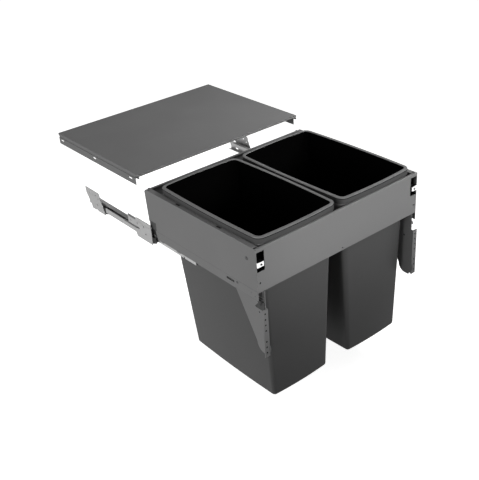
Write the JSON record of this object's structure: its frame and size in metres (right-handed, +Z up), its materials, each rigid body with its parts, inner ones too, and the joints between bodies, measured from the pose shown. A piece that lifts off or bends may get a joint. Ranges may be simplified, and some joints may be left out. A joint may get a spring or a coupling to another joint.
{
  "type": "pull-out bin frame",
  "caption": "Powder-coated pull-out frame on telescopic rails that carries lift-out waste bins, with door brackets, cabinet wall plates and a fixed lid above the shut bins.",
  "frame": {"origin": "on the front panel's outer face, midway between its two small screw holes, with the frame drawn out", "axes": "+X to the right across the cabinet, +Y into the cabinet along the slide, +Z up"},
  "size_m": [0.562, 0.9052, 0.5002],
  "materials": {
    "lid_paint": "satin fine powder coat",
    "frame_paint": "satin fine powder coat",
    "zinc_plate": "dull zinc plate",
    "rail_steel": "rolled zinc-plated steel, greased races",
    "cage_steel": "stamped steel strip",
    "ball_steel": "polished",
    "rivet_steel": "plain steel",
    "black_plastic": "fine moulded texture",
    "black_rubber": "matt",
    "clip_metal": "white enamel",
    "dark_screws": "black oxide",
    "bin_plastic": "satin moulded polypropylene"
  },
  "bodies": {
    "cabinet": {"lid_panel": "lid_paint", "left_lid_rail": "lid_paint", "right_lid_rail": "lid_paint", "lid_bumpers": "black_rubber", "left_front_wall_plate": "zinc_plate", "right_front_wall_plate": "zinc_plate", "left_rear_wall_plate": "zinc_plate", "right_rear_wall_plate": "zinc_plate", "left_cabinet_rail": "rail_steel", "right_cabinet_rail": "rail_steel", "left_rail_holders": "black_plastic", "right_rail_holders": "black_plastic", "left_damper": "black_plastic", "right_damper": "black_plastic"},
    "left_middle": {"left_middle_rail": "rail_steel"},
    "left_outer_race": {"left_outer_cage": "cage_steel", "left_outer_balls": "ball_steel"},
    "left_inner_race": {"left_inner_cage": "cage_steel", "left_inner_balls": "ball_steel"},
    "right_middle": {"right_middle_rail": "rail_steel"},
    "right_outer_race": {"right_outer_cage": "cage_steel", "right_outer_balls": "ball_steel"},
    "right_inner_race": {"right_inner_cage": "cage_steel", "right_inner_balls": "ball_steel"},
    "drawer": {"front_panel": "frame_paint", "left_side_panel": "frame_paint", "right_side_panel": "frame_paint", "rear_panel": "frame_paint", "bin_shelf": "frame_paint", "left_bin_collar": "frame_paint", "right_bin_collar": "frame_paint", "left_side_strip": "frame_paint", "right_side_strip": "frame_paint", "left_runner_carrier": "frame_paint", "right_runner_carrier": "frame_paint", "left_drawer_rail": "rail_steel", "right_drawer_rail": "rail_steel", "left_door_bracket": "frame_paint", "right_door_bracket": "frame_paint", "left_adjuster": "black_plastic", "right_adjuster": "black_plastic", "left_rail_catch": "black_plastic", "right_rail_catch": "black_plastic", "left_window_insert": "black_plastic", "right_window_insert": "black_plastic", "left_clip": "clip_metal", "right_clip": "clip_metal", "clip_screws": "dark_screws", "left_end_cap": "black_plastic", "right_end_cap": "black_plastic", "bracket_rivets": "rivet_steel", "strip_screws": "dark_screws"},
    "left_bin_body": {"left_bin": "bin_plastic"},
    "right_bin_body": {"right_bin": "bin_plastic"}
  },
  "joints": [
    {"name": "drawer_slide", "type": "slide", "parent": "cabinet", "child": "drawer", "axis": [0, 1, 0], "range_m": [0, 0.446]},
    {"name": "left_middle_slide", "type": "slide", "parent": "cabinet", "child": "left_middle", "axis": [0, 1, 0], "range_m": [0, 0.223]},
    {"name": "left_outer_race_slide", "type": "slide", "parent": "cabinet", "child": "left_outer_race", "axis": [0, 1, 0], "range_m": [0, 0.1115]},
    {"name": "left_inner_race_slide", "type": "slide", "parent": "left_middle", "child": "left_inner_race", "axis": [0, 1, 0], "range_m": [0, 0.1115]},
    {"name": "right_middle_slide", "type": "slide", "parent": "cabinet", "child": "right_middle", "axis": [0, 1, 0], "range_m": [0, 0.223]},
    {"name": "right_outer_race_slide", "type": "slide", "parent": "cabinet", "child": "right_outer_race", "axis": [0, 1, 0], "range_m": [0, 0.1115]},
    {"name": "right_inner_race_slide", "type": "slide", "parent": "right_middle", "child": "right_inner_race", "axis": [0, 1, 0], "range_m": [0, 0.1115]},
    {"name": "left_bin_lift", "type": "slide", "parent": "drawer", "child": "left_bin_body", "axis": [0, 0, 1], "range_m": [0, 0.51]},
    {"name": "right_bin_lift", "type": "slide", "parent": "drawer", "child": "right_bin_body", "axis": [0, 0, 1], "range_m": [0, 0.51]}
  ],
  "couplings": [
    {"joint": "left_middle_slide", "follows": "drawer_slide", "ratio": 0.5},
    {"joint": "left_outer_race_slide", "follows": "drawer_slide", "ratio": 0.25},
    {"joint": "left_inner_race_slide", "follows": "drawer_slide", "ratio": 0.25},
    {"joint": "right_middle_slide", "follows": "drawer_slide", "ratio": 0.5},
    {"joint": "right_outer_race_slide", "follows": "drawer_slide", "ratio": 0.25},
    {"joint": "right_inner_race_slide", "follows": "drawer_slide", "ratio": 0.25}
  ]
}
